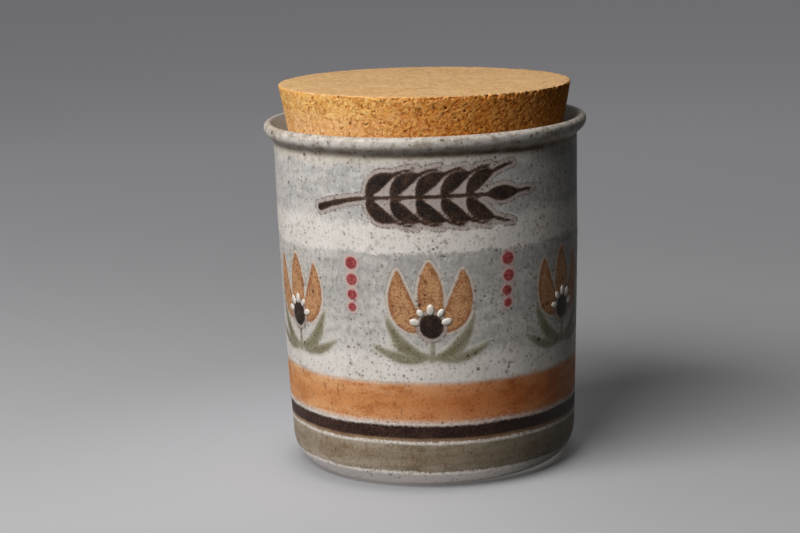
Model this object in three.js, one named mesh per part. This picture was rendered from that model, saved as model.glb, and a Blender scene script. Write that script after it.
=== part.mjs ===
// Stoneware flour canister: a glazed jar with a flared, rolled rim, closed by a tapered cork stopper.
// Millimetres, +Z up. The origin is on the table, at the middle of the jar's foot ring.

import * as THREE from 'three';

// Jar, outside
const jarHeight = 150.8;        // table to the crest of the lip
const neckRadius = 65.9;        // just under the rim
const rimOverhang = 4.1;        // how far the lip stands out beyond the neck
const rimDrop = 8.8;            // crest of the lip down to the neck
const lipRound = 2;             // radius of the lip's round edge
const wallTaper = 3.5;          // how much the wall draws in from the neck to the heel
const wallBow = 0.7;            // how far the wall bows out from a straight taper
const heelHeight = 13;          // height of the rounded heel
const heelRun = 12;             // how far the heel draws in to the foot ring
const footRingWidth = 5;        // flat ring that the jar stands on
const footRecess = 1.5;         // depth of the hollow inside the foot ring

// Jar, inside
const wallThickness = 6.85;
const floorThickness = 5.5;
const insideCornerRound = 12;   // round between the inside wall and the floor
const flareAngle = 45;          // fall of the funnel inside the rim, in degrees below level
const throatRound = 4;          // round between the funnel and the inside wall, where the cork seats

// Cork stopper
const stopperProud = 15.2;      // height of cork that stands above the lip
const stopperDepth = 14;        // height of cork below the crest of the lip
const stopperTaper = 10.9;      // lean of its side from upright, in degrees
const stopperEdge = 0.6;        // worn edge at its top and bottom faces
const seatClearance = 0.3;      // gap between the cork and the throat, square to the cork's side

// Facets round the axis, and along the curves of a profile
const roundSteps = 80;
const longCurveSteps = 8;
const shortCurveSteps = 5;

const degrees = Math.PI / 180;
const circularPull = 0.5523;    // pull of a cubic curve's handles at which a corner is a quarter circle
const point = (radius, height) => new THREE.Vector2(radius, height);

// Radii and heights that follow from the sizes above
const rimRadius = neckRadius + rimOverhang;
const neckHeight = jarHeight - rimDrop;
const heelRadius = neckRadius - wallTaper;
const standRadius = heelRadius - heelRun;
const throatRadius = neckRadius - wallThickness;
const insideFloor = footRecess + floorThickness;
const lipCentre = point(rimRadius - lipRound, jarHeight - lipRound);

// The throat's round is tangent to the inside wall and to the funnel, which is tangent to the lip.
const flare = flareAngle * degrees;
const throatCentreRadius = throatRadius + throatRound;
const throatCentre = point(
  throatCentreRadius,
  lipCentre.y
    + Math.tan(flare) * (throatCentreRadius - lipCentre.x)
    + (lipRound - throatRound) / Math.cos(flare),
);

// Points along a curve, without its first one: the stretch before it ends there.
function along(curve, steps) {
  return curve.getPoints(steps).slice(1);
}

// A round stretch of a profile, counterclockwise between two angles in degrees from the outward direction.
function arc(centre, radius, from, to, steps) {
  const curve = new THREE.EllipseCurve(centre.x, centre.y, radius, radius, from * degrees, to * degrees);
  return along(curve, steps);
}

// A rounded corner between two points, in line with the edges that meet at the corner.
function roundedCorner(from, corner, to) {
  const leave = from.clone().lerp(corner, circularPull);
  const arrive = to.clone().lerp(corner, circularPull);
  return along(new THREE.CubicBezierCurve(from, leave, arrive, to), longCurveSteps);
}

// The handle of a wall that tapers between two points and bows out by wallBow in the middle.
function bowHandle(from, to) {
  const handle = from.clone().lerp(to, 0.5);
  handle.x += 2 * wallBow;
  return handle;
}

function bowedWall(from, to) {
  return along(new THREE.QuadraticBezierCurve(from, bowHandle(from, to), to), longCurveSteps);
}

// Where a bowed wall, carried on in line past its lower end, would meet a level floor.
function wallMeetsFloor(lowerEnd, upperEnd, floor) {
  const handle = bowHandle(lowerEnd, upperEnd);
  const lean = (handle.x - lowerEnd.x) / (handle.y - lowerEnd.y);
  return point(lowerEnd.x - lean * (lowerEnd.y - floor), floor);
}

// A solid of revolution about +Z. Its profile runs from the axis below, up the outside, to the axis again.
function revolve(name, profile, material) {
  const mesh = new THREE.Mesh(new THREE.LatheGeometry(profile, roundSteps), material);
  mesh.name = name;
  mesh.rotation.x = Math.PI / 2;
  return mesh;
}

// Hollow underside and the flat ring that the jar stands on
function footProfile() {
  const ringInside = standRadius - footRingWidth;
  return [
    point(0, footRecess),
    point(ringInside - footRecess, footRecess),
    point(ringInside, 0),
    point(standRadius, 0),
  ];
}

// Rounded heel, then the wall up to the neck
function outsideProfile() {
  const stand = point(standRadius, 0);
  const heelTop = point(heelRadius, heelHeight);
  const neck = point(neckRadius, neckHeight);
  return [
    ...roundedCorner(stand, wallMeetsFloor(heelTop, neck, 0), heelTop),
    ...bowedWall(heelTop, neck),
  ];
}

// The collar swings out from the neck to the lip in an S, upright at both ends.
function collarProfile() {
  const neck = point(neckRadius, neckHeight);
  const lipSide = point(rimRadius, lipCentre.y);
  const middle = (neck.y + lipSide.y) / 2;
  const collar = new THREE.CubicBezierCurve(
    neck, point(neck.x, middle), point(lipSide.x, middle), lipSide,
  );
  return along(collar, longCurveSteps);
}

// Over the lip, down the funnel and round the throat
function mouthProfile() {
  const funnelSide = 90 + flareAngle;
  const funnelNormal = point(-Math.sin(flare), Math.cos(flare));
  return [
    ...arc(lipCentre, lipRound, 0, 90, shortCurveSteps),
    ...arc(lipCentre, lipRound, 90, funnelSide, shortCurveSteps),
    throatCentre.clone().addScaledVector(funnelNormal, throatRound),
    ...arc(throatCentre, throatRound, funnelSide, 180, shortCurveSteps),
  ];
}

// Inside wall, at wallThickness from the outside one, then the corner and the floor
function insideProfile() {
  const throat = point(throatRadius, throatCentre.y);
  const wallFoot = point(heelRadius - wallThickness, insideFloor + insideCornerRound);
  const floorEdge = point(wallFoot.x - insideCornerRound, insideFloor);
  return [
    ...bowedWall(throat, wallFoot),
    ...roundedCorner(wallFoot, wallMeetsFloor(wallFoot, throat, insideFloor), floorEdge),
    point(0, insideFloor),
  ];
}

function makeJar() {
  const glaze = new THREE.MeshStandardMaterial({ color: 0xb9b7b1, roughness: 0.4, metalness: 0 });
  const profile = [
    ...footProfile(),
    ...outsideProfile(),
    ...collarProfile(),
    ...mouthProfile(),
    ...insideProfile(),
  ];
  return revolve('jar', profile, glaze);
}

// The cork's side leans outwards and lies against the throat's round, at seatClearance from it.
function makeStopper() {
  const cork = new THREE.MeshStandardMaterial({ color: 0xc98f55, roughness: 0.9, metalness: 0 });
  const lean = stopperTaper * degrees;
  const seatNormal = point(-Math.cos(lean), Math.sin(lean));
  const seat = throatCentre.clone().addScaledVector(seatNormal, throatRound + seatClearance);
  const sideRadius = (height) => seat.x + Math.tan(lean) * (height - seat.y);

  const top = jarHeight + stopperProud;
  const bottom = jarHeight - stopperDepth;
  const profile = [
    point(0, bottom),
    point(sideRadius(bottom) - stopperEdge, bottom),
    point(sideRadius(bottom + stopperEdge), bottom + stopperEdge),
    point(sideRadius(top - stopperEdge), top - stopperEdge),
    point(sideRadius(top) - stopperEdge, top),
    point(0, top),
  ];
  return revolve('cork_stopper', profile, cork);
}

const canister = new THREE.Group();
canister.add(makeJar(), makeStopper());

export default canister;
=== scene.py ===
# Flour canister: a speckled stoneware jar with painted bands, closed by a pressed cork.
# Blender works in metres here; the sizes in the dictionaries are millimetres, except in the studio.

import math

import bpy
import numpy as np
from mathutils import Matrix, Vector


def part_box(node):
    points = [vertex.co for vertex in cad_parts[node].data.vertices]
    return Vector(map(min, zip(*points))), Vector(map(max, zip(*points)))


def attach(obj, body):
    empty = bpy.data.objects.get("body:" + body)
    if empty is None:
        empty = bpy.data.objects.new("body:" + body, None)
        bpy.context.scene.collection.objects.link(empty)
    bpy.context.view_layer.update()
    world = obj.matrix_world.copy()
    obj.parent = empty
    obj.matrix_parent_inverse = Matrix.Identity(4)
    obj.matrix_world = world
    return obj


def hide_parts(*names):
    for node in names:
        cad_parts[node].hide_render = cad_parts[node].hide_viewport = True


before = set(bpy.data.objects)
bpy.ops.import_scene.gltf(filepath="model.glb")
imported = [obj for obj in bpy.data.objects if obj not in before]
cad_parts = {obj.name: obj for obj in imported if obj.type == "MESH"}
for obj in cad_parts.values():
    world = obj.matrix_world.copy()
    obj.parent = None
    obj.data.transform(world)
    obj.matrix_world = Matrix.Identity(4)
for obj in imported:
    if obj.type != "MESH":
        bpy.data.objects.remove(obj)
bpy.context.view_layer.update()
mm = 0.001

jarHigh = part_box("jar")[1]
corkLow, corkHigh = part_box("cork_stopper")
rimRadius = jarHigh[0] / mm
jarHeight = jarHigh[2] / mm
print("frame loaded: rim radius %.1f, jar height %.1f" % (rimRadius, jarHeight))


# Viewpoint of the photograph

viewpoint = {
    "place": (0.0, -0.94997, 0.27246),      # metres
    "yaw": -0.013515,                       # radians
    "pitch": 0.19554,                       # down from level
    "roll": -0.032741,
    "lens": 98.85,
    "sensor": 36.0,
}


def setCamera(view):
    data = bpy.data.cameras.new("photoCamera")
    data.lens = view["lens"]
    data.sensor_width = view["sensor"]
    camera = bpy.data.objects.new("photoCamera", data)
    bpy.context.scene.collection.objects.link(camera)
    turn = Matrix.Rotation(-view["yaw"], 4, "Z")
    nod = Matrix.Rotation(math.pi / 2 - view["pitch"], 4, "X")
    tip = Matrix.Rotation(view["roll"], 4, "Z")
    camera.matrix_world = Matrix.Translation(view["place"]) @ turn @ nod @ tip
    bpy.context.scene.camera = camera


# Node trees: a field is what a node puts out, and formulas use fields like numbers

class Field:
    def __init__(self, socket):
        self.socket = socket
        self.tree = socket.id_data

    def __add__(self, other):
        return calc("ADD", self, other)

    def __sub__(self, other):
        return calc("SUBTRACT", self, other)

    def __rsub__(self, other):
        return calc("SUBTRACT", other, self)

    def __mul__(self, other):
        return calc("MULTIPLY", self, other)

    def __truediv__(self, other):
        return calc("DIVIDE", self, other)

    def __rtruediv__(self, other):
        return calc("DIVIDE", other, self)

    __radd__ = __add__


class Outputs:                              # a node's outputs as fields, by name or by number
    def __init__(self, node):
        self.sockets = node.outputs

    def __getitem__(self, key):
        return Field(self.sockets[key])


def feed(socket, value):                    # links a field to an input, or sets a plain value on it
    if isinstance(value, Field):
        value.tree.links.new(value.socket, socket)
    elif socket.type == "RGBA":
        socket.default_value = (*value, 1.0)
    else:
        socket.default_value = value


def addNode(tree, kind, inputs=None, **settings):
    node = tree.nodes.new(kind)
    for name, value in settings.items():
        setattr(node, name, value)
    for key, value in (inputs or {}).items():
        feed(node.inputs[key], value)
    return Outputs(node)


def calc(operation, *values):
    tree = next(value.tree for value in values if isinstance(value, Field))
    return addNode(tree, "ShaderNodeMath", dict(enumerate(values)), operation=operation)[0]


def vectorCalc(operation, vector, *others, result="Vector"):
    inputs = dict(enumerate((vector, *others)))
    return addNode(vector.tree, "ShaderNodeVectorMath", inputs, operation=operation)[result]


def scaled(vector, factor):
    return addNode(vector.tree, "ShaderNodeVectorMath", {0: vector, "Scale": factor}, operation="SCALE")[0]


def stretched(vector, *factors):            # one factor for each axis
    return vectorCalc("MULTIPLY", vector, factors)


def split(vector):
    return addNode(vector.tree, "ShaderNodeSeparateXYZ", {0: vector})


def fade(value, start, end):                # 0 at start, 1 at end, smooth between; start may be the larger
    inputs = {"Value": value, "From Min": start, "From Max": end}
    return addNode(value.tree, "ShaderNodeMapRange", inputs, interpolation_type="SMOOTHSTEP")[0]


def noise(place, size, detail=2.0, roughness=0.5):
    inputs = {"Vector": place, "Scale": 1.0 / size, "Detail": detail, "Roughness": roughness}
    return addNode(place.tree, "ShaderNodeTexNoise", inputs)["Fac"]


def swing(place, size, reach):              # noise that swings about zero, by about reach each way
    return (noise(place, size) - 0.5) * (4.0 * reach)


def voronoi(place, size, feature="F1", **inputs):
    sockets = {"Vector": place, "Scale": 1.0 / size, **inputs}
    return addNode(place.tree, "ShaderNodeTexVoronoi", sockets, feature=feature)


def bent(place, reach, perMillimetre=0.9):  # shifts places about, so that cells lose their straight edges
    inputs = {"Vector": place, "Scale": perMillimetre, "Detail": 2.0}
    cloud = addNode(place.tree, "ShaderNodeTexNoise", inputs)["Color"]
    return vectorCalc("ADD", place, scaled(vectorCalc("SUBTRACT", cloud, (0.5, 0.5, 0.5)), reach))


def blend(share, first, second, mode="MIX"):
    settings = {"data_type": "RGBA", "blend_type": mode, "clamp_factor": True}
    return addNode(share.tree, "ShaderNodeMix", {0: share, 6: first, 7: second}, **settings)[2]


def laid(colour, layers):                   # layers over a colour: share, tint, and the mode if not plain
    for share, tint, *mode in layers:
        colour = blend(share, colour, tint, *mode)
    return colour


def attribute(tree, name):
    return addNode(tree, "ShaderNodeAttribute", attribute_name=name)


def bumped(height, strength, distance):     # a normal for the shader
    inputs = {"Strength": strength, "Distance": distance * mm, "Height": height}
    return addNode(height.tree, "ShaderNodeBump", inputs)[0]


def newMaterial(name):
    material = bpy.data.materials.new(name)
    material.use_nodes = True
    tree = material.node_tree
    return material, tree, tree.nodes["Principled BSDF"].inputs


def objectPlace(tree):                      # Object coordinates in millimetres
    return scaled(addNode(tree, "ShaderNodeTexCoord")["Object"], 1.0 / mm)


def startTree(kind, name, inputs, outputs):
    tree = bpy.data.node_groups.new(name, kind)
    for side, sockets in (("INPUT", inputs), ("OUTPUT", outputs)):
        for socket, socketKind in sockets.items():
            tree.interface.new_socket(socket, in_out=side, socket_type="NodeSocket" + socketKind)
    given = Outputs(tree.nodes.new("NodeGroupInput"))
    return tree, given, tree.nodes.new("NodeGroupOutput").inputs


# Effects that several finishes share

def startEffect(name, inputs, outputs):     # a shader group of plain values over a place
    sockets = {"Place": "Vector", **dict.fromkeys(inputs, "Float")}
    return startTree("ShaderNodeTree", name, sockets, dict.fromkeys(outputs, "Float"))


def makeFleckGroup():                       # scattered ragged flecks of uneven size
    tree, given, result = startEffect("scatteredFlecks", ("Spacing", "Radius", "Ragged"), ("Mask",))
    cells = voronoi(bent(given["Place"], given["Ragged"], 1.1), given["Spacing"])
    away = cells["Distance"] * given["Spacing"]
    lot = split(cells["Color"])
    reach = given["Radius"] * (lot[0] * 0.75 + 0.25)
    strength = lot[1] * 0.7 + 0.3
    feed(result["Mask"], fade(away, reach, reach * 0.3) * strength)
    return tree


def makeMottleGroup():                      # cloudy unevenness, 0 to 1 about a half
    tree, given, result = startEffect("cloudyMottle", ("Size", "Contrast"), ("Value",))
    spread = (noise(given["Place"], given["Size"], 4.0, 0.6) - 0.5) * given["Contrast"]
    clamped = addNode(tree, "ShaderNodeMath", {0: spread, 1: 0.5}, operation="ADD", use_clamp=True)
    feed(result["Value"], clamped[0])
    return tree


def makeBrushGroup():                       # what a brush stroke leaves, from the distance to its edge
    sizes = ("Depth", "Ragged", "Soft", "Reach", "Full")
    tree, given, result = startEffect("brushStroke", sizes, ("Core", "Heart", "Halo", "Outline"))
    grain = noise(given["Place"], 0.8, 2.0, 0.7) - 0.5
    slow = noise(given["Place"], 4.0, 1.0) - 0.5
    ragged = (grain + slow * 0.9) * given["Ragged"] * 2.0
    past = given["Depth"] + ragged * 0.6 - given["Reach"]
    feed(result["Core"], fade(given["Depth"] + ragged, given["Soft"], 0.0 - given["Soft"]))
    feed(result["Heart"], fade(given["Depth"], 0.3, 0.0 - given["Full"]))
    feed(result["Halo"], fade(past, 0.3, -0.4))
    feed(result["Outline"], fade(calc("ABSOLUTE", past), 0.5, 0.1))
    return tree


flecks = makeFleckGroup()
mottle = makeMottleGroup()
brushStroke = makeBrushGroup()
print("shared effects made")


def useEffect(group, **inputs):
    return addNode(inputs["Place"].tree, "ShaderNodeGroup", inputs, node_tree=group)


def cloudy(place, size, contrast):
    return useEffect(mottle, Place=place, Size=size, Contrast=contrast)["Value"]


def flecked(place, spacing, radius, ragged, share=1.0):
    return useEffect(flecks, Place=place, Spacing=spacing, Radius=radius, Ragged=ragged)["Mask"] * share


# Geometry trees

def startShape(name, sockets):
    return startTree("GeometryNodeTree", name, sockets, {"Piece": "Geometry"})


def shape(kind, body, inputs=None, **settings):         # one step of a geometry tree
    return addNode(body.tree, "GeometryNode" + kind, {"Geometry": body, **(inputs or {})}, **settings)[0]


def endShape(result, body, finish):
    body = shape("RealizeInstances", body)
    feed(result["Piece"], shape("SetMaterial", body, {"Material": finish}))


def stored(body, name, value, kind="FLOAT"):
    return shape("StoreNamedAttribute", body, {"Name": name, "Value": value}, data_type=kind)


def named(tree, name, kind="FLOAT"):        # an attribute that was stored before
    return addNode(tree, "GeometryNodeInputNamedAttribute", {"Name": name}, data_type=kind)["Attribute"]


def combined(tree, **axes):
    return addNode(tree, "ShaderNodeCombineXYZ", axes)[0]


def makeTurningTree():                      # a profile of points becomes a round piece about +Z
    tree, given, result = startShape("turnedOnTheWheel", {
        "Profile": "Geometry",
        "Round Steps": "Int",
        "Wobble": "Float",                  # metres
        "Wobble Size": "Float",             # metres
        "Finish": "Material",
    })
    profile, steps = given["Profile"], given["Round Steps"]
    size = addNode(tree, "GeometryNodeAttributeDomainSize", {"Geometry": profile}, component="MESH")
    rows = size["Point Count"]
    grid = addNode(tree, "GeometryNodeMeshGrid", {"Vertices X": steps + 1, "Vertices Y": rows})["Mesh"]
    index = addNode(tree, "GeometryNodeInputIndex")[0]
    position = addNode(tree, "GeometryNodeInputPosition")[0]
    column = addNode(tree, "FunctionNodeIntegerMath", {0: index, 1: rows}, operation="DIVIDE_FLOOR")[0]
    row = addNode(tree, "FunctionNodeIntegerMath", {0: index, 1: rows}, operation="MODULO")[0]

    def sampled(value, kind="FLOAT"):       # a value of the profile's point that this row comes from
        return shape("SampleIndex", profile, {"Value": value, "Index": row}, data_type=kind)

    spot = split(sampled(position, "FLOAT_VECTOR"))
    angle = calc("MULTIPLY_ADD", column / steps, 2 * math.pi, math.pi / 2)  # the seam is at the back
    outward = combined(tree, X=calc("COSINE", angle), Y=calc("SINE", angle))
    place = vectorCalc("ADD", scaled(outward, spot[0]), combined(tree, Z=spot[2]))
    body = shape("SetPosition", grid, {"Position": place})
    for name in ("outside", "bareClay", "play"):
        body = stored(body, name, sampled(named(tree, name)))
    body = shape("MergeByDistance", body, {"Distance": 1e-6})               # closes the seam and the poles

    wave = noise(position, given["Wobble Size"], 1.0)
    push = (wave - 0.5) * 4.0 * given["Wobble"] * named(tree, "play")
    sideways = vectorCalc("NORMALIZE", stretched(position, 1.0, 1.0, 0.0))
    body = shape("SetPosition", body, {"Offset": scaled(sideways, push)})
    endShape(result, shape("SetShadeSmooth", body), given["Finish"])
    return tree


def addTree(piece, tree, values):           # a Geometry Nodes modifier with its named inputs set
    modifier = piece.modifiers.new(tree.name, "NODES")
    modifier.node_group = tree
    for item in tree.interface.items_tree:
        if item.in_out == "INPUT" and item.name in values:
            modifier[item.identifier] = values[item.name]


def settle(piece):                          # the evaluated shape becomes the piece's own plain mesh
    bpy.context.view_layer.update()
    graph = bpy.context.evaluated_depsgraph_get()
    mesh = bpy.data.meshes.new_from_object(
        piece.evaluated_get(graph), preserve_all_data_layers=True, depsgraph=graph)
    piece.modifiers.clear()
    old = piece.data
    piece.data = mesh
    mesh.name = piece.name
    bpy.data.meshes.remove(old)


def pointsObject(name, points, values):     # loose points in millimetres, with numbers or vectors by name
    mesh = bpy.data.meshes.new(name)
    mesh.from_pydata([Vector(point) * mm for point in points], [], [])
    for key, numbers in values.items():
        kind, slot = ("FLOAT_VECTOR", "vector") if np.ndim(numbers) == 2 else ("FLOAT", "value")
        layer = mesh.attributes.new(key, kind, "POINT")
        layer.data.foreach_set(slot, np.asarray(numbers, dtype=np.float32).ravel())
    piece = bpy.data.objects.new(name, mesh)
    bpy.context.scene.collection.objects.link(piece)
    return piece


# Profiles are lists of (radius, height) in millimetres

def curvePoints(handles, steps):            # a Bezier curve, without its first point
    handles = np.array(handles, dtype=float)
    points = []
    for t in np.linspace(0.0, 1.0, steps + 1)[1:]:
        level = handles
        while len(level) > 1:
            level = level[:-1] * (1 - t) + level[1:] * t
        points.append(tuple(level[0]))
    return points


def arcPoints(centre, radius, start, end, steps):       # degrees from the outward direction
    angles = np.radians(np.linspace(start, end, steps + 1)[1:])
    return [(centre[0] + radius * math.cos(a), centre[1] + radius * math.sin(a)) for a in angles]


def linePoints(start, end, steps):
    return curvePoints([start, end], steps)


def towards(start, end, share):
    return tuple(a + (b - a) * share for a, b in zip(start, end))


turningTree = makeTurningTree()


# The jar

jar = {
    "roundSteps": 400,
    "neckRadius": 65.9,
    "rimDrop": 8.8,                         # crest of the lip down to the neck
    "lipRound": 2.0,
    "collarTurn": 0.36,                     # where the collar turns from hollow to round, up from the neck
    "wallTaper": 3.5,
    "wallBow": 0.7,
    "heelHeight": 13.0,
    "heelRun": 12.0,
    "footRingWidth": 5.0,
    "footRecess": 1.5,
    "wallThickness": 6.85,
    "floorThickness": 5.5,
    "insideCornerRound": 12.0,
    "flareAngle": 45.0,
    "throatRound": 4.0,
    "circularPull": 0.5523,                 # pull of the handles that rounds a corner like a circle
    "rows": {                               # points along each stretch of the profile
        "hollow": 5, "ringSlope": 3, "ring": 4, "heel": 20, "wall": 128, "collar": 12, "lip": 7,
        "lipInside": 5, "funnel": 5, "throat": 6, "inside": 20, "corner": 8, "floor": 6,
    },
    "wobble": 0.16,                         # how far the thrown wall strays from round
    "wobbleSize": 38.0,
}


def jarProfile(size):
    neck = (size["neckRadius"], jarHeight - size["rimDrop"])
    heelTop = (size["neckRadius"] - size["wallTaper"], size["heelHeight"])
    stand = heelTop[0] - size["heelRun"]
    ringInside = stand - size["footRingWidth"]
    lipRound, throatRound = size["lipRound"], size["throatRound"]
    lipCentre = (rimRadius - lipRound, jarHeight - lipRound)
    flare = math.radians(size["flareAngle"])
    throat = size["neckRadius"] - size["wallThickness"]
    throatCentre = (throat + throatRound,
                    lipCentre[1] + math.tan(flare) * (throat + throatRound - lipCentre[0])
                    + (lipRound - throatRound) / math.cos(flare))

    def bowed(low, high):                   # handle of a wall that bows out in the middle
        middle = towards(low, high, 0.5)
        return (middle[0] + 2 * size["wallBow"], middle[1])

    def corner(start, meet, end, steps):
        pull = size["circularPull"]
        return curvePoints([start, towards(start, meet, pull), towards(end, meet, pull), end], steps)

    def wallFoot(low, high, floor):         # where the wall, carried on, meets a level floor
        handle = bowed(low, high)
        lean = (handle[0] - low[0]) / (handle[1] - low[1])
        return (low[0] - lean * (low[1] - floor), floor)

    def funnelEnd(centre, radius):          # where the funnel touches the round of the lip or of the throat
        return (centre[0] - math.sin(flare) * radius, centre[1] + math.cos(flare) * radius)

    recess = size["footRecess"]
    insideFloor = recess + size["floorThickness"]
    insideTop = (throat, throatCentre[1])
    insideFoot = (heelTop[0] - size["wallThickness"], insideFloor + size["insideCornerRound"])
    insideWall = [insideTop, bowed(insideTop, insideFoot), insideFoot]
    insideMeet = wallFoot(insideFoot, insideTop, insideFloor)
    floorEdge = (insideFoot[0] - size["insideCornerRound"], insideFloor)
    collarTurn = neck[1] + (lipCentre[1] - neck[1]) * size["collarTurn"]
    collar = [neck, (neck[0], collarTurn), (rimRadius, collarTurn), (rimRadius, lipCentre[1])]
    funnelSide = 90 + size["flareAngle"]
    funnel = (funnelEnd(lipCentre, lipRound), funnelEnd(throatCentre, throatRound))

    # each stretch: its points, then outside, bare clay and play, from 0 to 1
    rows = size["rows"]
    middle, hollowEdge = (0.0, recess), (ringInside - recess, recess)
    ringEdge, heelFoot = (ringInside, 0.0), (stand, 0.0)
    stretches = [
        ([middle] + linePoints(middle, hollowEdge, rows["hollow"]), 0, 0, 0),
        (linePoints(hollowEdge, ringEdge, rows["ringSlope"]), 0, 0, 0),
        (linePoints(ringEdge, heelFoot, rows["ring"]), 0, 1, 0),
        (corner(heelFoot, wallFoot(heelTop, neck, 0.0), heelTop, rows["heel"]), 1, 0, 0.4),
        (curvePoints([heelTop, bowed(heelTop, neck), neck], rows["wall"]), 1, 0, 1),
        (curvePoints(collar, rows["collar"]), 1, 0, 1),
        (arcPoints(lipCentre, lipRound, 0, 90, rows["lip"]), 1, 0, 0.6),
        (arcPoints(lipCentre, lipRound, 90, funnelSide, rows["lipInside"]), 0, 0, 0.4),
        (linePoints(*funnel, rows["funnel"]), 0, 0, 0.2),
        (arcPoints(throatCentre, throatRound, funnelSide, 180, rows["throat"]), 0, 0, 0),
        (curvePoints(insideWall, rows["inside"]), 0, 0, 0),
        (corner(insideFoot, insideMeet, floorEdge, rows["corner"]), 0, 0, 0),
        (linePoints(floorEdge, (0.0, insideFloor), rows["floor"]), 0, 0, 0),
    ]
    points = []
    values = {"outside": [], "bareClay": [], "play": []}
    for stretch, *amounts in stretches:
        points += stretch
        for name, amount in zip(values, amounts):
            values[name] += [amount] * len(stretch)
    return points, values


# Brushwork, laid out on the unrolled wall: along the wall from the middle of the front, then height.
# Each stroke has a start, a bend and an end, and a radius at each.

paintRadius = 65.0                          # the wall is unrolled at this radius
paintThickness = 0.13
paintEdge = 0.8                             # width over which the paint rises from the wall
beadPitch = 0.35                            # a stroke is reckoned as beads this far apart
farFromPaint = 8.0                          # where a stroke no longer shows

wheatEar = {
    "height": 125.4,                        # of the spine; the places below are along it and above it
    "stalk": ((-48.0, -5.0), (-37.0, -1.2), (-25.0, 0.0)),
    "stalkRadii": (1.7, 1.1, 0.9),
    "earStart": -25.0,
    "spineBend": (0.0, 0.8),
    "spineRadii": (0.9, 0.9, 0.9),
    "tipGrain": ((-1.0, 0.0), (5.0, 0.4), (12.0, 0.0)),     # from the end of the spine
    "tipAwn": ((11.5, 0.0), (15.0, 0.4), (20.0, 0.2)),
    "grainPairs": 5,
    "grainPitch": 10.4,
    "grainFoot": (0.6, 1.1),                # along the spine and away from it
    "grainReach": (10.8, 9.6),              # from a grain's foot to its tip
    "grainSwell": (2.6, 7.6),               # where its belly pulls to
    "grainRadii": (1.1, 3.2, 0.6),
    "awnReach": (9.0, 2.6),
    "awnBend": (0.45, 0.75),                # shares of its reach
    "awnRadii": (0.8, 0.75, 0.45),
}

tulips = {
    "count": 6,
    "foot": 57.6,                           # height where the stem starts; the places below are from there
    "stem": ((0.0, 9.0), (0.8, 4.0), (0.0, -0.6)),
    "stemRadii": (1.2, 1.1, 1.5),
    "middlePetal": ((0.0, 15.0), (0.0, 26.0), (0.0, 40.0)),
    "sidePetal": ((5.2, 14.2), (14.4, 17.0), (13.6, 37.0)),
    "petalRadii": (2.3, 5.4, 0.9),
    "heartHeight": 14.0,                    # middle of the dark heart
    "heartReach": 1.2,
    "heartRadii": (3.9, 5.0, 3.7),
    "leaf": ((0.8, 0.6), (12.5, 0.5), (18.8, 18.0)),
    "leafRadii": (0.9, 2.9, 0.5),
    "lowLeaf": ((2.0, -0.4), (14.0, -1.8), (25.0, 6.0)),
    "lowLeafRadii": (0.7, 2.1, 0.4),
    "berryHeights": (40.4, 33.4, 26.9, 21.0),
    "berryRadii": (2.8, 2.6, 2.3, 2.0),
    "jitter": 0.45,                         # a hand never paints the same twice
    "seed": 21,
}


def stroke(colour, spots, radii):
    return {"colour": colour, "spots": np.array(spots), "radii": radii}


def earStrokes(ear):
    pitch = ear["grainPitch"]
    earEnd = ear["earStart"] + ear["grainPairs"] * pitch
    joint = (ear["earStart"], 0.0)
    tipGrain, tipAwn = ([(earEnd + along, up) for along, up in ear[name]] for name in ("tipGrain", "tipAwn"))
    strokes = [
        stroke("darkBrush", ear["stalk"], ear["stalkRadii"]),
        stroke("darkBrush", (joint, ear["spineBend"], (earEnd, 0.0)), ear["spineRadii"]),
        stroke("darkBrush", tipGrain, ear["grainRadii"]),
        stroke("darkBrush", tipAwn, ear["awnRadii"]),
    ]
    grainBends = (ear["grainSwell"], ear["grainReach"])
    footAlong, footAway = ear["grainFoot"]
    awnAlong, awnAway = ear["awnReach"]
    bendAlong, bendAway = ear["awnBend"]
    for pair in range(ear["grainPairs"]):
        foot = ear["earStart"] + footAlong + pair * pitch
        for side in (1, -1):
            swell, tip = ((foot + along, side * away) for along, away in grainBends)
            awnBend = (tip[0] + awnAlong * bendAlong, tip[1] + side * awnAway * bendAway)
            awnTip = (tip[0] + awnAlong, tip[1] + side * awnAway)
            strokes.append(stroke("darkBrush", ((foot, side * footAway), swell, tip), ear["grainRadii"]))
            strokes.append(stroke("darkBrush", (tip, awnBend, awnTip), ear["awnRadii"]))
    for one in strokes:
        one["spots"] = one["spots"] + (0.0, ear["height"])
    return strokes


def tulipStrokes(size, chance):             # one tulip and the berries beside it, from its foot
    heart = [(0.0, size["heartHeight"] + size["heartReach"] * way) for way in (-1, 0, 1)]
    strokes = [
        stroke("oliveBrush", size["stem"], size["stemRadii"]),
        stroke("orangeBrush", size["middlePetal"], size["petalRadii"]),
        stroke("darkBrush", heart, size["heartRadii"]),
    ]
    for side in ((-1, 1), (1, 1)):
        strokes += [
            stroke("oliveBrush", np.array(size["leaf"]) * side, size["leafRadii"]),
            stroke("oliveBrush", np.array(size["lowLeaf"]) * side, size["lowLeafRadii"]),
            stroke("orangeBrush", np.array(size["sidePetal"]) * side, size["petalRadii"]),
        ]
    jitter = size["jitter"]
    for one in strokes:
        one["spots"] = one["spots"] + chance.uniform(-jitter, jitter, (3, 2))
    half = math.pi * paintRadius / size["count"]
    for height, radius in zip(size["berryHeights"], size["berryRadii"]):
        spot = (half, height) + chance.uniform(-jitter, jitter, 2)
        strokes.append(stroke("redBrush", (spot, spot, spot), (radius, radius, radius)))
    return strokes


def friezeStrokes(size):
    chance = np.random.default_rng(size["seed"])
    pitch = 2 * math.pi * paintRadius / size["count"]
    strokes = []
    for number in range(size["count"]):
        for one in tulipStrokes(size, chance):
            one["spots"] = one["spots"] + (number * pitch, size["foot"])
            strokes.append(one)
    return strokes


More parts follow.
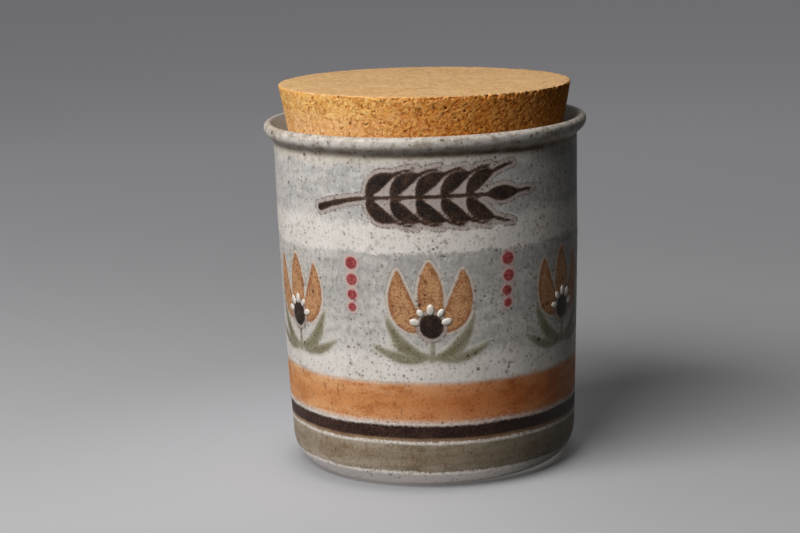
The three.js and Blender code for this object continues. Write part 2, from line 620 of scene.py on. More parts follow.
def strokeDepth(along, height, one):        # distance outside a stroke's edge, negative inside it
    start, bend, end = one["spots"]
    first, belly, last = one["radii"]
    length = np.linalg.norm(bend - start) + np.linalg.norm(end - bend)
    depth = np.full(along.shape, farFromPaint)
    for t in np.linspace(0.0, 1.0, max(2, int(length / beadPitch))):
        spot = (1 - t) ** 2 * start + 2 * t * (1 - t) * bend + t ** 2 * end
        radius = first * (1 - t) * (1 - 2 * t) + 4 * belly * t * (1 - t) + last * t * (2 * t - 1)
        depth = np.minimum(depth, np.hypot(along - spot[0], height - spot[1]) - radius)
    return depth


def meshValues(mesh, name, slot, count):    # so many numbers for each vertex
    values = np.empty((len(mesh.vertices), count), dtype=np.float32)
    mesh.attributes[name].data.foreach_get(slot, values.ravel())
    return values


def paintJar(mesh, strokes):                # stores each colour's depth, and lifts the paint off the wall
    places = meshValues(mesh, "position", "vector", 3).astype(float)
    wall = np.flatnonzero(meshValues(mesh, "outside", "value", 1) > 0.5)
    turn = 2 * math.pi * paintRadius
    along = np.arctan2(places[wall, 0], -places[wall, 1]) * paintRadius
    height = places[wall, 2] / mm
    depths = {}
    for one in strokes:
        spots = one["spots"]
        margin = max(one["radii"]) + farFromPaint
        middle = spots[:, 0].mean()
        near = (along - middle + turn / 2) % turn - turn / 2 + middle
        low, high = spots.min(axis=0) - margin, spots.max(axis=0) + margin
        close = np.flatnonzero((near > low[0]) & (near < high[0]) & (height > low[1]) & (height < high[1]))
        depth = depths.setdefault(one["colour"], np.full(wall.size, farFromPaint))
        depth[close] = np.minimum(depth[close], strokeDepth(near[close], height[close], one))
    nearest = np.full(wall.size, farFromPaint)
    for colour, depth in depths.items():
        full = np.full(len(mesh.vertices), farFromPaint, dtype=np.float32)
        full[wall] = depth
        mesh.attributes.new(colour, "FLOAT", "POINT").data.foreach_set("value", full)
        nearest = np.minimum(nearest, depth)
    rise = np.clip(0.5 - nearest / paintEdge, 0.0, 1.0) * paintThickness * mm
    outward = places[wall, :2] / np.linalg.norm(places[wall, :2], axis=1)[:, None]
    places[wall, :2] += outward * rise[:, None]
    mesh.vertices.foreach_set("co", places.astype(np.float32).ravel())
    mesh.update()


# Finish of the jar

glazeColours = {
    "white": (0.765, 0.72, 0.67),
    "warmWhite": (0.70, 0.64, 0.58),
    "blueGrey": (0.42, 0.41, 0.395),
    "friezeGrey": (0.415, 0.395, 0.37),
    "smudge": (0.34, 0.325, 0.30),
    "speck": (0.12, 0.10, 0.085),           # the specks darken what they lie in
    "rust": (0.30, 0.19, 0.14),             # some of them are brown
    "blot": (0.27, 0.19, 0.15),             # soft blots where iron has bled into the white
    "drip": (0.16, 0.075, 0.04),
    "stain": (0.25, 0.20, 0.135),
    "collar": (0.365, 0.29, 0.185),         # painted shade on the underside of the lip and a painted shadow on the wall below it, where the glaze is also thin
    "pooled": (0.155, 0.097, 0.047),        # and has run together below it; the dark line there is also painted shade in the crease
    # the glaze inside the mouth and the jar: greyer, and darker still as painted shade
    "inside": (0.30, 0.28, 0.255),
    "heel": (0.42, 0.39, 0.375),
    "bareClay": (0.45, 0.36, 0.27),
    "outline": (0.14, 0.10, 0.08),
}

glazeWashes = {                             # thin greys over the white: their edges and how soft these are
    "neck": {"low": 115.8, "high": 139.2, "soft": (3.0, 2.4)},
    "frieze": {"low": 60.0, "high": 102.2, "soft": (4.0, 0.9)},
}
friezeFuller = (58.0, 98.0)                 # heights between which the frieze's wash gets thicker

glazeSides = {                              # along X, where a change starts and where it is full
    # the washes are greyer towards the right
    "washLoaded": (-60.0, 0.0),
    # more blots towards the right: the glaze's own iron, laid on more densely as painted shade
    "blotsCrowded": (-10.0, 45.0),
    # the heel is laid on whiter towards the right as painted light thrown up from the floor
    "heelWhiter": (5.0, 45.0),
    # towards the right the bands sag lower and get painted shade; both ease off at the far right
    "bandsThicker": (-55.0, 45.0),
    "bandsThinner": (44.0, 62.0),
    # the pooled line and the painted shade in it grow heavier towards the shaded right
    "poolHeavier": (-60.0, 30.0),
}

rimGlaze = {                                # heights above the neck, where each starts and where it is full
    # the first pair is a painted shadow of the lip on the wall below the neck, the next painted shade under
    # the lip
    "hazeFoot": (-5.5, 0.3),
    "hazeTop": (1.5, 0.3),
    "thinFoot": (0.0, 1.2),
    "thinTop": (5.4, 1.4),
    "stain": (0.5, 2.5),
    "crest": (6.8, 8.6),
    "poolFoot": (-1.2, 0.5),
    "poolFringe": 2.0,                      # over which the pooled glaze thins out upwards
}

# flecks: spacing, radius, raggedness and share
speckLayers = [(1.0, 0.5, 0.6, 0.6), (1.9, 0.9, 1.0, 0.9), (3.8, 1.25, 1.4, 0.95)]
blotFlecks = (2.6, 1.8, 0.9, 0.8)
dripFlecks = (2.2, 0.75, 0.6, 0.75)

heelEdge = (7.0, 6.0)                       # heights where the glaze turns thinner and greyer, downwards
bandTilt = 0.0105                           # the bands were painted a little higher on the left
bandFringe = 0.3                            # middle of the grains of colour outside a band's edge
fringeReach = (0.75, 0.1)

# painted bands, from the heel up: edges and their softness, then the colours across the band and in clouds
glazeBands = [
    {"low": 7.8, "high": 20.2, "soft": (0.4, 0.5), "sag": 0.0, "gritty": 0.2,
     "cloud": (0.187, 0.132, 0.079), "grit": (0.154, 0.108, 0.066), "shade": (0.64, 0.65, 0.62),
     "foot": (0.363, 0.30, 0.225), "middle": (0.275, 0.214, 0.148), "top": (0.35, 0.29, 0.214)},
    {"low": 21.4, "high": 23.4, "soft": (0.5, 0.4), "sag": 0.0, "gritty": 0.6,
     "cloud": (0.16, 0.08, 0.04), "grit": (0.42, 0.30, 0.18), "shade": (0.6, 0.5, 0.45),
     "foot": (0.36, 0.23, 0.13), "middle": (0.26, 0.15, 0.08), "top": (0.20, 0.11, 0.055)},
    {"low": 22.9, "high": 28.5, "soft": (0.4, 0.6), "sag": 0.0, "gritty": 0.55,
     "cloud": (0.06, 0.028, 0.017), "grit": (0.085, 0.042, 0.026), "shade": (0.6, 0.6, 0.6),
     "foot": (0.020, 0.006, 0.004), "middle": (0.018, 0.005, 0.003), "top": (0.026, 0.008, 0.005)},
    {"low": 30.3, "high": 46.9, "soft": (1.8, 1.5), "sag": 0.8, "gritty": 0.1,
     "cloud": (0.50, 0.185, 0.056), "grit": (0.44, 0.16, 0.05), "shade": (0.77, 0.56, 0.45),
     "foot": (0.70, 0.365, 0.165), "middle": (0.64, 0.275, 0.097), "top": (0.74, 0.405, 0.195)},
]

# brush colours, from the lowest layer up; lengths in millimetres, shares from 0 to 1
brushLayers = [
    {"name": "oliveBrush", "ragged": 0.5, "soft": 0.9, "reach": 1.3, "full": 2.4, "cover": 0.93,
     "heart": (0.14, 0.12, 0.055), "edge": (0.275, 0.245, 0.165), "gritty": 0.9, "pooled": 2.4,
     "halo": (0.60, 0.57, 0.50), "haloShare": 0.5, "outlineShare": 0.0},
    {"name": "orangeBrush", "ragged": 0.45, "soft": 0.45, "reach": 1.3, "full": 2.6, "cover": 0.97,
     "heart": (0.54, 0.285, 0.13), "edge": (0.30, 0.115, 0.04), "gritty": 1.5, "pooled": 2.6,
     "halo": (0.62, 0.52, 0.43), "haloShare": 0.7, "outlineShare": 0.4},
    {"name": "redBrush", "ragged": 0.4, "soft": 0.4, "reach": 1.1, "full": 0.8, "cover": 0.97,
     "heart": (0.235, 0.024, 0.028), "edge": (0.42, 0.095, 0.09), "gritty": 2.0, "pooled": 1.8,
     "halo": (0.58, 0.40, 0.37), "haloShare": 0.75, "outlineShare": 0.15},
    {"name": "darkBrush", "ragged": 0.45, "soft": 0.35, "reach": 1.7, "full": 1.2, "cover": 1.0,
     "heart": (0.008, 0.005, 0.004), "edge": (0.07, 0.036, 0.021), "gritty": 1.0, "pooled": 2.0,
     "halo": (0.40, 0.33, 0.295), "haloShare": 0.85, "outlineShare": 0.85},
]


def above(value, edges):                    # 1 above the lower edge
    low, soft = edges["low"], edges["soft"][0]
    return fade(value, low - soft, low + soft)


def below(value, edges):                    # 1 below the upper edge
    high, soft = edges["high"], edges["soft"][1]
    return fade(value, high + soft, high - soft)


def glazeGround(place, outside, grain):     # the white glaze, its grey washes and the iron bled into it
    tint = glazeColours
    x, _, height = split(place)
    frayed = (grain - 0.5) * 1.4
    soft = height + swing(place, 20.0, 1.5) + swing(place, 6.0, 0.9) + frayed
    brushed = stretched(place, 0.35, 0.35, 1.3)                             # the brush went round the jar
    streaks = fade(noise(brushed, 5.0, 3.0), 0.3, 0.65) * 0.5 + 0.53
    # the washes are greyer towards the right
    greyerRight = fade(x, *glazeSides["washLoaded"]) * 0.5 + 0.78
    watery = fade(noise(place, 24.0, 1.0), 0.35, 0.6) * 0.3 + 0.7
    fuller = fade(height, *friezeFuller) * 0.35 + 0.7
    neck, frieze = (above(soft, wash) * below(soft, wash) * streaks for wash in glazeWashes.values())
    neck = neck * greyerRight
    frieze = frieze * watery * fuller * greyerRight
    washed = neck + frieze
    greyed = washed * fade(cloudy(place, 3.0, 3.2), 0.5, 1.0)
    fallen = stretched(place, 1.0, 1.0, 0.5)                                # the wash ran down a little
    bald = washed * fade(cloudy(fallen, 2.2, 3.2), 0.6, 1.0)                # the white shows through
    dirty = fade(noise(fallen, 1.6, 3.0, 0.65), 0.5, 0.7)
    clusters = fade(noise(place, 7.0), 0.4, 0.58)
    # the blots crowd towards the right, partly the glaze's own iron and partly painted shade
    crowdedAndShaded = fade(x, *glazeSides["blotsCrowded"]) * 0.6 + 0.62
    unwashed = 1.0 - washed * 0.55
    blots = flecked(place, *blotFlecks) * clusters * crowdedAndShaded * unwashed * outside
    white = blend(cloudy(place, 12.0, 2.6), tint["white"], tint["warmWhite"])
    return laid(tint["inside"], [
        (outside, white),
        (neck * outside, tint["blueGrey"]),
        (frieze * outside, tint["friezeGrey"]),
        (greyed * outside * 0.8, tint["smudge"]),
        (bald * outside * 0.36, tint["white"]),
        (dirty * (washed * 0.6 + 0.35), tint["smudge"]),
        (blots, tint["blot"], "MULTIPLY"),
    ])


def glazeStripes(colour, place, outside, grain):        # the bands, and where they cover the wall
    tint = glazeColours
    x, _, height = split(place)
    rough = grain - 0.5
    wavy = swing(place, 26.0, 0.35) + swing(place, 6.0, 0.15)
    level = height + x * bandTilt + wavy + rough * 0.7
    # painted light from the floor: the heel turns white towards the right
    greyer = 0.9 - fade(x, *glazeSides["heelWhiter"]) * 0.8
    heel = fade(level, *heelEdge) * outside * greyer
    colour = blend(heel, colour, tint["heel"])
    drawn = stretched(place, 0.3, 0.3, 1.0)                                 # the brush went round the jar
    uneven = noise(drawn, 3.0, 3.0) * 0.6 + noise(place, 14.0) * 0.4
    clouds = fade(uneven + rough * 0.14, 0.42, 0.68)
    drips = flecked(stretched(place, 1.0, 1.0, 0.2), *dripFlecks)           # some colour ran down a little
    # the painted shade on the bands and their sag ease off at the far right
    easedFarRight = 1.0 - fade(x, *glazeSides["bandsThinner"]) * 0.45
    sagAndShade = fade(x, *glazeSides["bandsThicker"]) * easedFarRight
    striped = 0.0
    for band in glazeBands:
        low, high = band["low"], band["high"]
        middle = (low + high) / 2
        cover = above(level + sagAndShade * band["sag"], band) * below(level, band) * outside
        striped = calc("MAXIMUM", cover, striped)
        paint = laid(band["foot"], [
            (fade(level, low, middle), band["middle"]),
            (fade(level, middle, high), band["top"]),
            (clouds, band["cloud"]),
            (fade(grain, 0.5, 1.0) * band["gritty"], band["grit"]),
            # painted shade on the bands towards the right
            (sagAndShade, band["shade"], "MULTIPLY"),
            (drips, tint["drip"], "DARKEN"),
        ])
        colour = blend(cover, colour, paint)
        for edge in (low - bandFringe, high + bandFringe):
            line = fade(calc("ABSOLUTE", level - edge), *fringeReach)
            colour = blend(line * fade(grain, 0.35, 0.85) * outside * 0.4, colour, tint["stain"])
    return colour, striped


def glazeRim(colour, place, outside):       # stains on the lip, painted shade under it and a painted shadow below it, and the glaze that ran together below it, partly painted shade
    tint, rim = glazeColours, rimGlaze
    x, _, height = split(place)
    neck = jarHeight - jar["rimDrop"]
    wavy = swing(place, 14.0, 0.5) + swing(place, 4.0, 0.2)
    near = height + wavy - neck                                             # height above the neck
    # painted shadow of the lip on the wall just below the neck
    rimShadow = fade(near, *rim["hazeFoot"]) * fade(near, *rim["hazeTop"]) * outside
    # painted shade on the underside of the lip, where the glaze is also thin
    underLipShade = fade(near, *rim["thinTop"]) * fade(near, *rim["thinFoot"]) * outside
    patches = fade(noise(place, 4.5, 3.0), 0.46, 0.68)
    stained = fade(near, *rim["stain"]) * (patches * 0.5 + 0.2) * outside
    crest = fade(near, *rim["crest"]) * outside                             # the glaze breaks brown here
    # heavier towards the shaded right, where the painted shade under the lip deepens
    heavierToShade = fade(x, *glazeSides["poolHeavier"]) * 0.68 + 0.3
    upper = noise(place, 8.0) * 3.2 + heavierToShade * 0.8 - 1.4
    # glaze run together in the crease under the lip, laid on darker as painted shade
    pooled = fade(near, *rim["poolFoot"]) * fade(near, upper + rim["poolFringe"], upper) * outside
    patchy = fade(noise(place, 6.0), 0.35, 0.6) * 0.3 + 0.7
    return laid(colour, [
        (rimShadow * 0.35, tint["collar"]),
        (underLipShade * 0.36, tint["collar"]),
        (stained, tint["stain"]),
        (crest * 0.36, tint["stain"]),
        (pooled * heavierToShade * patchy, tint["pooled"]),
    ])


def glazeBrushwork(colour, place, grain):
    rough = grain - 0.5
    pool = noise(place, 5.0) - 0.5
    for layer in brushLayers:
        depth = attribute(place.tree, layer["name"])["Fac"]
        sizes = {name.capitalize(): layer[name] for name in ("ragged", "soft", "reach", "full")}
        marks = useEffect(brushStroke, Place=place, Depth=depth, **sizes)
        thick = marks["Heart"] + rough * layer["gritty"] + pool * layer["pooled"]
        paint = blend(fade(thick, 0.0, 1.4), layer["edge"], layer["heart"])
        colour = laid(colour, [
            (marks["Halo"] * (rough * 0.5 + layer["haloShare"]), layer["halo"]),
            (marks["Outline"] * fade(grain, 0.15, 0.75) * layer["outlineShare"], glazeColours["outline"]),
            (marks["Core"] * layer["cover"], paint),
        ])
    return colour


def makeGlaze():
    material, tree, shader = newMaterial("speckledGlaze")
    place = objectPlace(tree)
    outside = attribute(tree, "outside")["Fac"]
    bare = attribute(tree, "bareClay")["Fac"]
    grain = fade(noise(place, 0.9, 2.0, 0.7), 0.32, 0.68)
    colour = glazeGround(place, outside, grain)
    colour, striped = glazeStripes(colour, place, outside, grain)
    colour = glazeRim(colour, place, outside)
    colour = glazeBrushwork(colour, place, grain)
    crowd = fade(noise(place, 9.0), 0.35, 0.65) * 0.6 + 0.5
    buried = 1.0 - striped * 0.4                                            # the bands lie over the specks
    specks = sum(flecked(place, *layer) for layer in speckLayers) * crowd * buried
    rusty = fade(noise(place, 5.0), 0.45, 0.65)
    iron = blend(rusty, glazeColours["speck"], glazeColours["rust"])
    colour = laid(colour, [(specks, iron, "MULTIPLY"), (bare, glazeColours["bareClay"])])
    feed(shader["Base Color"], colour)
    feed(shader["Roughness"], cloudy(place, 6.0, 1.6) * 0.16 + 0.46 + bare * 0.4)
    feed(shader["Specular IOR Level"], 0.22)
    dimples = noise(place, 2.2) - specks * 0.5 + grain * 0.3
    feed(shader["Normal"], bumped(dimples, 0.4, 0.08))
    return material


def makeJar():
    points, values = jarProfile(jar)
    piece = pointsObject("stoneware_jar", [(r, 0.0, z) for r, z in points], values)
    addTree(piece, turningTree, {
        "Round Steps": jar["roundSteps"],
        "Wobble": jar["wobble"] * mm,
        "Wobble Size": jar["wobbleSize"] * mm,
        "Finish": makeGlaze(),
    })
    settle(piece)
    paintJar(piece.data, earStrokes(wheatEar) + friezeStrokes(tulips))
    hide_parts("jar")
    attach(piece, "jar")
    print("jar turned and painted: %d faces" % len(piece.data.polygons))


# Raised dots of slip

slipDots = {
    "perTulip": 5,
    "ring": 6.9,                            # radius of the row of drops about the dark heart
    "spread": 76.0,                         # degrees each way from straight up
    "radius": 1.5,
    "length": 2.2,
    "rise": 0.6,
    "white": (0.74, 0.70, 0.64),
    "dull": (0.60, 0.54, 0.46),
    "flecks": (2.0, 0.3, 0.3, 0.5),
}


def makeSlip(size):                         # thick white slip
    material, tree, shader = newMaterial("whiteSlip")
    place = objectPlace(tree)
    feed(shader["Base Color"], laid(size["white"], [
        (cloudy(place, 2.0, 2.5), size["dull"]),
        (flecked(place, *size["flecks"]), glazeColours["speck"]),
    ]))
    feed(shader["Roughness"], cloudy(place, 3.0, 2.0) * 0.2 + 0.3)
    return material


def makeDotTree():
    tree, given, result = startShape("raisedDots", {
        "Points": "Geometry",
        "Radius": "Float",
        "Length": "Float",
        "Rise": "Float",
        "Finish": "Material",
    })
    bead = addNode(tree, "GeometryNodeMeshIcoSphere", {"Radius": 1.0, "Subdivisions": 2})["Mesh"]
    facing, leaning = (named(tree, name, "FLOAT_VECTOR") for name in ("facing", "leaning"))
    aim = addNode(tree, "FunctionNodeAlignRotationToVector", {"Vector": facing}, axis="Z")[0]
    aim = addNode(tree, "FunctionNodeAlignRotationToVector", {"Rotation": aim, "Vector": leaning},
                  axis="Y", pivot_axis="Z")[0]
    girth = addNode(tree, "FunctionNodeRandomValue", {2: 0.85, 3: 1.15, "Seed": 4}, data_type="FLOAT")[1]
    size = combined(tree, X=given["Radius"] * girth, Y=given["Length"] * girth, Z=given["Rise"])
    bead = shape("SetShadeSmooth", bead)
    inputs = {"Points": given["Points"], "Instance": bead, "Rotation": aim, "Scale": size}
    endShape(result, addNode(tree, "GeometryNodeInstanceOnPoints", inputs)[0], given["Finish"])
    return tree


def makeSlipDots():
    profile, values = jarProfile(jar)
    wall = np.array([point for point, side in zip(profile, values["outside"]) if side])
    wall = wall[wall[:, 1] < jarHeight - jar["rimDrop"]]
    places, facings, leanings = [], [], []
    for number in range(tulips["count"]):
        for lean in np.linspace(-slipDots["spread"], slipDots["spread"], slipDots["perTulip"]):
            sideways, upward = math.sin(math.radians(lean)), math.cos(math.radians(lean))
            height = tulips["foot"] + tulips["heartHeight"] + slipDots["ring"] * upward
            angle = 2 * math.pi * number / tulips["count"] + slipDots["ring"] * sideways / paintRadius
            radius = np.interp(height, wall[:, 1], wall[:, 0]) + paintThickness
            facing = (math.sin(angle), -math.cos(angle), 0.0)
            places.append((radius * facing[0], radius * facing[1], height))
            facings.append(facing)
            leanings.append((-facing[1] * sideways, facing[0] * sideways, upward))
    piece = pointsObject("slip_dots", places, {"facing": facings, "leaning": leanings})
    addTree(piece, makeDotTree(), {
        "Radius": slipDots["radius"] * mm,
        "Length": slipDots["length"] * mm,
        "Rise": slipDots["rise"] * mm,
        "Finish": makeSlip(slipDots),
    })
    settle(piece)
    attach(piece, "jar")
    print("slip dots set: %d" % len(places))


# The cork stopper

cork = {
    "roundSteps": 940,
    "taper": 10.9,                          # lean of the side, degrees
    "topEdge": 0.6,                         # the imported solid's chamfer
    "worn": 0.9,                            # round of the worn edges
    "sideRows": 72,
    "topRows": 18,
    "bottomRows": 4,
    "topEdgeRows": 5,
    "bottomEdgeRows": 4,
    "cocked": (0.0136, 0.0088),             # radians: left side up, front up
    "seatHeight": 141.8,                    # where the cork touches the throat
    "granule": 1.7,
    "lump": 1.2,
    "pitSpacing": 2.0,
    "pitRadius": 1.2,
    "relief": 0.36,                         # unevenness of the cut side
    "pitDepth": 0.7,
    "crumble": 1.5,                         # how far the top edge has broken away
    "edgeDown": (2.4, 0.2),                 # below the top and in from the rim, where the crumbling starts
    "edgeIn": (2.2, 0.2),                   # and where it is full
    "wornSide": (-30.0, 45.0),              # along X, where a change starts and where it is full
    "roseSide": (10.0, -50.0),
    "roseHeight": (160.0, 152.0),
    "hollowSide": (-50.0, 0.0),
    "shadeSide": (-50.0, 25.0),
    "topFlecks": ((4.0, 1.15, 2.0, 0.7), (1.7, 0.75, 2.0, 0.7)),
    "dust": ((1.1, 0.5, 0.9, 0.6), (1.9, 0.8, 1.2, 1.0)),
}

corkColours = {
    "gold": (0.855, 0.46, 0.117),
    "straw": (0.96, 0.615, 0.232),
    "amber": (0.64, 0.275, 0.06),
    "rose": (0.93, 0.575, 0.315),
    "crevice": (0.29, 0.088, 0.019),
    "hollow": (0.97, 0.70, 0.46),           # light that is thrown about between the granules turns red
    "shade": (0.85, 0.602, 0.365),          # painted shade: the side is richer round to the right
    "pit": (0.14, 0.036, 0.009),
    "topTan": (0.59, 0.345, 0.146),
    "topPale": (0.71, 0.46, 0.224),
    "topBrown": (0.36, 0.17, 0.058),
}


def corkProfile(size):
    low, high = corkLow[2] / mm, corkHigh[2] / mm
    lean = math.tan(math.radians(size["taper"]))
    worn = size["worn"]

    def side(height):
        return corkHigh[0] / mm + lean * (height - (high - size["topEdge"]))

    bottomEdge = [(side(low) - worn, low), (side(low), low), (side(low + worn), low + worn)]
    topEdge = [(side(high - worn), high - worn), (side(high), high), (side(high) - worn, high)]
    inward = 1.0 - np.linspace(0.0, 1.0, size["topRows"] + 1)[1:] ** 2      # rings crowd towards the rim
    outward = np.linspace(0.0, 1.0, size["bottomRows"] + 1)
    points = [(bottomEdge[0][0] * share, low) for share in outward]
    points += curvePoints(bottomEdge, size["bottomEdgeRows"])
    points += linePoints(bottomEdge[-1], topEdge[0], size["sideRows"])
    points += curvePoints(topEdge, size["topEdgeRows"])
    points += [(topEdge[-1][0] * share, high) for share in inward]
    return points


def corkCracks(place):                      # 0 on the granules to 1 in the gaps between them
    edge = voronoi(bent(place, 2.0), cork["granule"], "DISTANCE_TO_EDGE")["Distance"]
    gap = fade(edge * cork["granule"], 0.26, 0.05)
    return gap * fade(noise(place, 1.7, 3.0), 0.48, 0.62)


def corkPits(place):                        # 1 in a pit of the cut cork
    cells = voronoi(bent(place, 2.4, 1.1), cork["pitSpacing"])
    lot = split(cells["Color"])[1]
    reach = calc("MAXIMUM", lot - 0.45, 0.01) * cork["pitRadius"]
    return fade(cells["Distance"] * cork["pitSpacing"], reach, reach * 0.45)


def makeGrainTree():                        # granules, pits and a crumbled edge, on the turned cork
    tree, given, result = startShape("pressedCork", {
        "Turned": "Geometry",
        "Relief": "Float",
        "Pit Depth": "Float",
        "Crumble": "Float",
        "Top": "Float",                     # height of the top face, millimetres
        "Top Radius": "Float",
        "Finish": "Material",
    })
    normal = addNode(tree, "GeometryNodeInputNormal")[0]
    place = scaled(addNode(tree, "GeometryNodeInputPosition")[0], 1.0 / mm)
    x, _, height = split(place)
    upright = calc("ABSOLUTE", split(normal)[2])
    lumps = voronoi(bent(place, 1.6), cork["lump"], "SMOOTH_F1", Smoothness=0.25)
    grain = split(lumps["Color"])[0] * 0.55 + corkCracks(place) * 0.8
    body = stored(given["Turned"], "restPlace", place, "FLOAT_VECTOR")
    body = stored(body, "flatFace", fade(upright, 0.6, 0.95))
    body = stored(body, "hollow", grain)

    cut = 1.0 - named(tree, "flatFace") * 0.86                              # the faces are sanded smooth
    rough = fade(x, *cork["wornSide"])                                      # the right side is the worse worn
    patchy = fade(noise(place, 9.0), 0.38, 0.62) * 0.9 + 0.55
    crumbly = patchy * (rough * 0.8 + 0.5)
    dip = grain * given["Relief"] * cut * crumbly
    pits = corkPits(place) * given["Pit Depth"] * (cut * 0.8 + 0.2)

    across = vectorCalc("LENGTH", stretched(place, 1.0, 1.0, 0.0), result="Value")
    down, inwards = given["Top"] - height, given["Top Radius"] - across
    edge = fade(down, *cork["edgeDown"]) * fade(inwards, *cork["edgeIn"])
    chips = fade(noise(place, 1.5, 3.0, 0.6), 0.46, 0.68)
    broken = edge * chips * given["Crumble"] * (rough * 0.8 + 0.35)
    offset = scaled(normal, (dip + pits + broken) * -mm)
    endShape(result, shape("SetPosition", body, {"Offset": offset}), given["Finish"])
    return tree


def corkSide(place, flakes, crumbs, grit, cracks):      # the cut side
    tint = corkColours
    x, _, height = split(place)
    low = fade(height, *cork["roseHeight"]) * fade(x, *cork["roseSide"])    # paler low on the left
    rosy = fade(noise(place, 5.0), 0.54, 0.7) * 0.25 + low * 0.5
    patches = noise(place, 6.0)
    hollows = fade(attribute(place.tree, "hollow")["Fac"], 0.2, 0.75)
    deeper = fade(x, *cork["hollowSide"]) * 0.6 + 0.22
    return laid(tint["gold"], [
        (fade(flakes[0], 0.2, 0.8), tint["straw"]),
        (fade(flakes[1], 0.55, 0.85) * 0.8, tint["amber"]),
        (fade(crumbs[0], 0.55, 0.8) * 0.7, tint["straw"]),
        (fade(crumbs[1], 0.65, 0.85) * 0.75, tint["amber"]),
        (rosy, tint["rose"]),
        (fade(patches, 0.54, 0.68) * 0.45, tint["amber"]),
        (fade(patches, 0.46, 0.32) * 0.4, tint["straw"]),
        (fade(grit, 0.52, 0.75) * 0.55, tint["amber"]),
        (fade(grit, 0.45, 0.25) * 0.6, tint["straw"]),
        (hollows * deeper, tint["hollow"], "MULTIPLY"),
        (cracks * 0.65, tint["crevice"]),
        # painted shade round to the right
        (fade(x, *cork["shadeSide"]), tint["shade"], "MULTIPLY"),
    ])


def corkTop(place, flakes, crumbs, cracks):             # the sanded faces
    tint = corkColours
    slabs = split(voronoi(bent(place, 5.0), cork["granule"] * 2.2)["Color"])
    colour = laid(tint["topTan"], [
        (cloudy(place, 12.0, 2.4), tint["topPale"]),
        (fade(flakes[0], 0.45, 0.9) * 0.7, tint["topPale"]),
        (fade(flakes[2], 0.6, 0.95) * 0.42, tint["topBrown"]),
        (fade(slabs[1], 0.7, 0.95) * 0.16, tint["topBrown"]),
        (cracks * 0.28, tint["topBrown"]),
        (fade(crumbs[1], 0.6, 0.95) * 0.22, tint["topBrown"]),
    ])
    return laid(colour, [(flecked(place, *layer), tint["topBrown"]) for layer in cork["topFlecks"]])


def makeCorkFinish():
    material, tree, shader = newMaterial("pressedCork")
    place = attribute(tree, "restPlace")["Vector"]
    flat = attribute(tree, "flatFace")["Fac"]
    flakes = split(voronoi(bent(place, 2.0), cork["granule"])["Color"])
    crumbs = split(voronoi(bent(place, 1.0), cork["granule"] * 0.4)["Color"])
    grit = noise(place, 0.45, 3.0, 0.7)
    cracks = corkCracks(place)
    dust = sum(flecked(place, *layer) for layer in cork["dust"])
    feed(shader["Base Color"], laid(corkSide(place, flakes, crumbs, grit, cracks), [
        (flat, corkTop(place, flakes, crumbs, cracks)),
        (corkPits(place) * (0.92 - flat * 0.65), corkColours["pit"]),
        (dust * (0.72 - flat * 0.4), corkColours["crevice"]),
    ]))
    feed(shader["Roughness"], cloudy(place, 2.0, 2.0) * 0.2 + 0.72)
    feed(shader["Specular IOR Level"], 0.12)
    feed(shader["Normal"], bumped(grit + crumbs[2] * 0.6 - dust * 0.6, 0.7, 0.2))
    return material


def makeCork():
    points = corkProfile(cork)
    still = [0.0] * len(points)
    values = {"outside": still, "bareClay": still, "play": still}
    piece = pointsObject("cork_plug", [(r, 0.0, z) for r, z in points], values)
    finish = makeCorkFinish()
    addTree(piece, turningTree, {
        "Round Steps": cork["roundSteps"],
        "Wobble": 0.0,
        "Wobble Size": jar["wobbleSize"] * mm,
        "Finish": finish,
    })
    addTree(piece, makeGrainTree(), {
        "Relief": cork["relief"],
        "Pit Depth": cork["pitDepth"],
        "Crumble": cork["crumble"],
        "Top": corkHigh[2] / mm,
        "Top Radius": corkHigh[0] / mm,
        "Finish": finish,
    })
    settle(piece)
    seat = Vector((0.0, 0.0, cork["seatHeight"] * mm))
    leftUp, frontUp = cork["cocked"]
    tip = Matrix.Rotation(leftUp, 4, "Y") @ Matrix.Rotation(-frontUp, 4, "X")
    piece.data.transform(Matrix.Translation(seat) @ tip @ Matrix.Translation(-seat))
    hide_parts("cork_stopper")
    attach(piece, "stopper")
    print("cork cut: %d faces" % len(piece.data.polygons))


# Studio: a pale floor, one soft lamp from the left, and a dim room; lengths in metres.
# Each reach gives where an effect on the floor starts and where it is full, from the jar's axis.

studio = {
    "floorSize": 8.0,
    "floorTint": (0.39, 0.388, 0.396),
    "nearBounce": (0.70, 0.69, 0.69),       # thrown back on the jar by the floor near it, and farther off
    "farBounce": (0.06, 0.06, 0.06),
    "bounceReach": (0.13, 0.075),
    "bounceSide": (0.06, 0.0),              # along X: the right side is in the shadow
    "backdropGlow": 0.085,                  # the backdrop stays pale far behind the jar
    "backdropReach": (0.08, 1.1),
    "glowTint": (1.03, 1.0, 1.10),
    "frontSheen": 0.062,                    # the smooth floor mirrors a little of the pale jar
    "sheenReach": (0.22, 0.06),
    "sheenStart": (0.052, 0.084),
    "sheenSide": (0.12, -0.02),
    "contactSheen": (0.085, 0.085),         # all round the foot, and more of it on the lit side
    "contactReach": (0.059, 0.052),
    "contactSide": (0.02, -0.03),
    "contactTint": (1.05, 1.0, 0.96),
    "shadowFill": 0.045,                    # what reaches the floor on the shadow side
    "fillReach": (0.082, 0.060),
    "contactShade": (0.72, 0.72, 0.72),     # less of the room reaches the floor beside the jar
    "shadeReach": (0.070, 0.056),
    "keyTurn": -40.6,                       # degrees left of the camera's side
    "keyRise": 45.6,
    "keyAway": 0.95,
    "keyAim": 0.08,                         # height that the lamp points at
    "keySize": (0.8, 0.42),                 # width and height
    "keyPower": 12.4,
    "roomLight": 0.005,
    "backLight": 0.4,                       # the room is lighter above and behind the jar
    "backWay": (-0.1, 0.62, 0.78),
    "roomTint": (0.17, 0.17, 0.174),
}


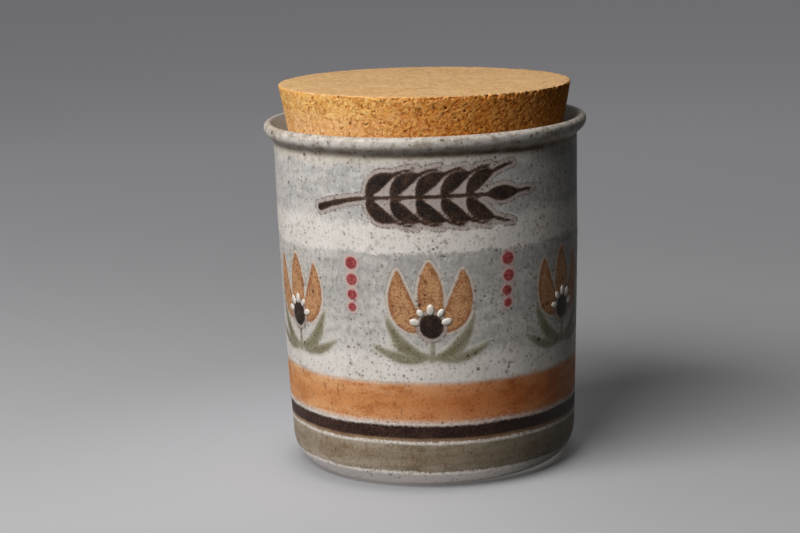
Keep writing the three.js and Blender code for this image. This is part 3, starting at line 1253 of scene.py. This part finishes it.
def makeFloorFinish(size):
    material, tree, shader = newMaterial("paleFloor")
    rays = addNode(tree, "ShaderNodeLightPath")
    mirrored = calc("MAXIMUM", rays["Is Glossy Ray"], rays["Is Transmission Ray"])
    seen = calc("MAXIMUM", rays["Is Camera Ray"], mirrored)
    place = addNode(tree, "ShaderNodeTexCoord")["Object"]
    away = vectorCalc("LENGTH", place, result="Value")
    x = split(place)[0]
    bouncing = fade(away, *size["bounceReach"]) * fade(x, *size["bounceSide"])
    bounce = blend(bouncing, size["farBounce"], size["nearBounce"])
    dim = blend(fade(away, *size["shadeReach"]), size["floorTint"], size["contactShade"], "MULTIPLY")
    feed(shader["Base Color"], blend(seen, bounce, dim))
    leftward = fade(x, *size["sheenSide"])
    sheen = fade(away, *size["sheenReach"]) * fade(away, *size["sheenStart"]) * leftward * size["frontSheen"]
    glow = (fade(away, *size["backdropReach"]) * size["backdropGlow"] + sheen) * seen
    everywhere, litSide = size["contactSheen"]
    contact = fade(away, *size["contactReach"]) * (fade(x, *size["contactSide"]) * litSide + everywhere)
    besideFoot = fade(away, *size["fillReach"])
    fill = besideFoot * (1.0 - leftward) * seen * size["shadowFill"]
    feed(shader["Emission Strength"], glow + contact + fill)
    feed(shader["Emission Color"], blend(besideFoot, size["glowTint"], size["contactTint"]))
    feed(shader["Roughness"], 0.9)
    feed(shader["Specular IOR Level"], 0.1)
    return material


def makeFloor(size):
    reach = size["floorSize"]
    mesh = bpy.data.meshes.new("floor")
    corners = [(-reach, -reach, 0), (reach, -reach, 0), (reach, reach, 0), (-reach, reach, 0)]
    mesh.from_pydata(corners, [], [(0, 1, 2, 3)])
    mesh.materials.append(makeFloorFinish(size))
    floor = bpy.data.objects.new("floor", mesh)
    bpy.context.scene.collection.objects.link(floor)


def makeLamp(size):
    data = bpy.data.lights.new("softLamp", "AREA")
    data.shape = "RECTANGLE"
    data.size, data.size_y = size["keySize"]
    data.energy = size["keyPower"]
    lamp = bpy.data.objects.new("softLamp", data)
    bpy.context.scene.collection.objects.link(lamp)
    turn, rise = math.radians(size["keyTurn"]), math.radians(size["keyRise"])
    way = Vector((math.sin(turn) * math.cos(rise), -math.cos(turn) * math.cos(rise), math.sin(rise)))
    lamp.location = way * size["keyAway"] + Vector((0.0, 0.0, size["keyAim"]))
    lamp.rotation_euler = way.to_track_quat("Z", "Y").to_euler()


def makeRoom(size):
    world = bpy.data.worlds.new("dimRoom")
    bpy.context.scene.world = world
    world.use_nodes = True
    tree = world.node_tree
    way = addNode(tree, "ShaderNodeTexCoord")["Generated"]
    behind = vectorCalc("DOT_PRODUCT", way, size["backWay"], result="Value")
    level = fade(behind, 0.5, 1.0) * size["backLight"] + size["roomLight"]
    light = addNode(tree, "ShaderNodeCombineColor", {0: level, 1: level, 2: level})[0]
    seen = addNode(tree, "ShaderNodeLightPath")["Is Camera Ray"]
    feed(tree.nodes["Background"].inputs["Color"], blend(seen, light, size["roomTint"]))


setCamera(viewpoint)
makeFloor(studio)
makeLamp(studio)
makeRoom(studio)
bpy.context.scene.view_settings.view_transform = "Standard"
print("studio set")

makeJar()
makeSlipDots()
makeCork()
